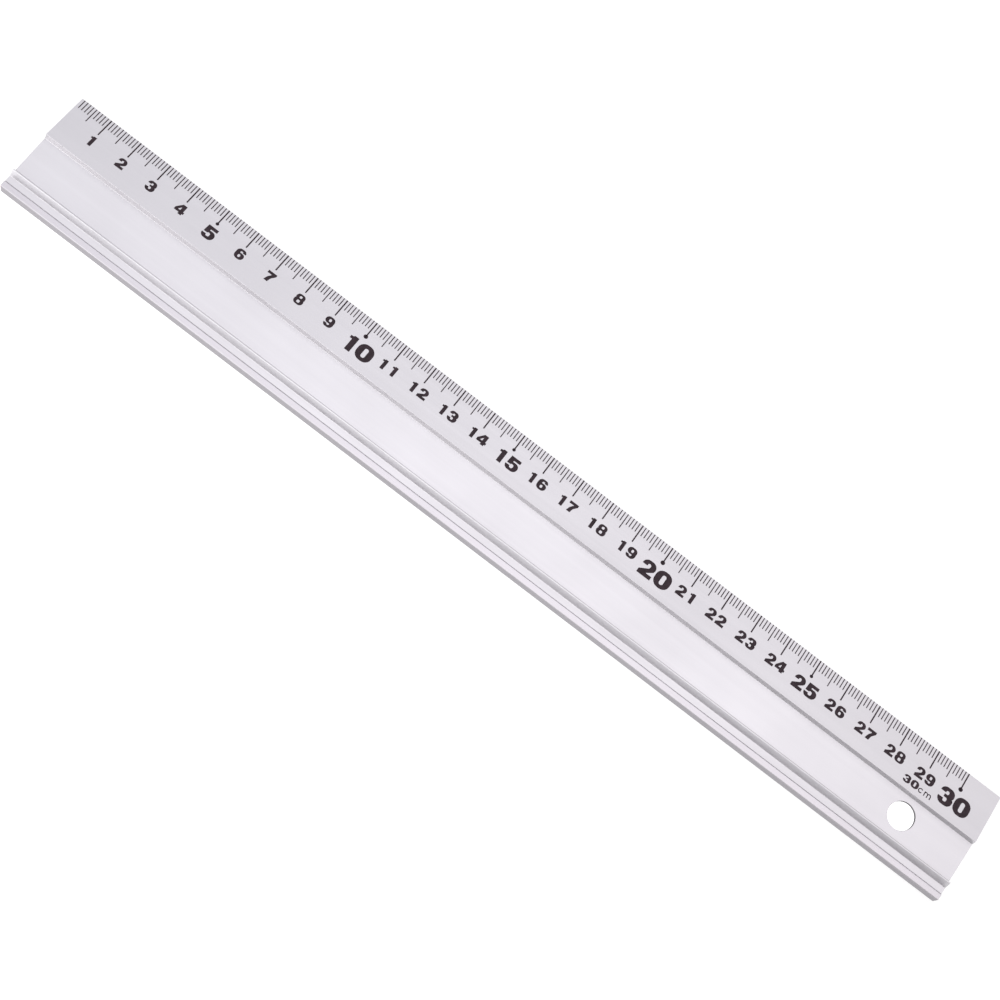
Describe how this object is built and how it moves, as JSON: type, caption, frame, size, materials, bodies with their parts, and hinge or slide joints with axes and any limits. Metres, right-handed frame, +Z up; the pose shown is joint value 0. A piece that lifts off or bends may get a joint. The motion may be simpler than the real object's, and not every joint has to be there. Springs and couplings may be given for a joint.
{
  "type": "cutting ruler",
  "caption": "Extruded aluminium 30 cm ruler with a steel cutting edge, sloped scale face, finger channel, raised rib, hang hole and rubber grip strips.",
  "frame": {"origin": "midway along the length and across the width, on the plane that the rubber strips stand on", "axes": "+X along the scale towards higher numbers, +Y towards the scale edge, +Z up out of the marked face"},
  "size_m": [0.3104, 0.034, 0.0055],
  "materials": {
    "satin_aluminium": "anodised silver satin, with fine lines along the length",
    "brushed_steel": "stainless, finely brushed along the length",
    "grip_rubber": "matt dark grey",
    "scale_ink": "matt brownish black print"
  },
  "bodies": {
    "root": {"ruler_body": "satin_aluminium", "steel_edge": "brushed_steel", "rear_grip_strip": "grip_rubber", "front_grip_strip": "grip_rubber"}
  },
  "joints": []
}
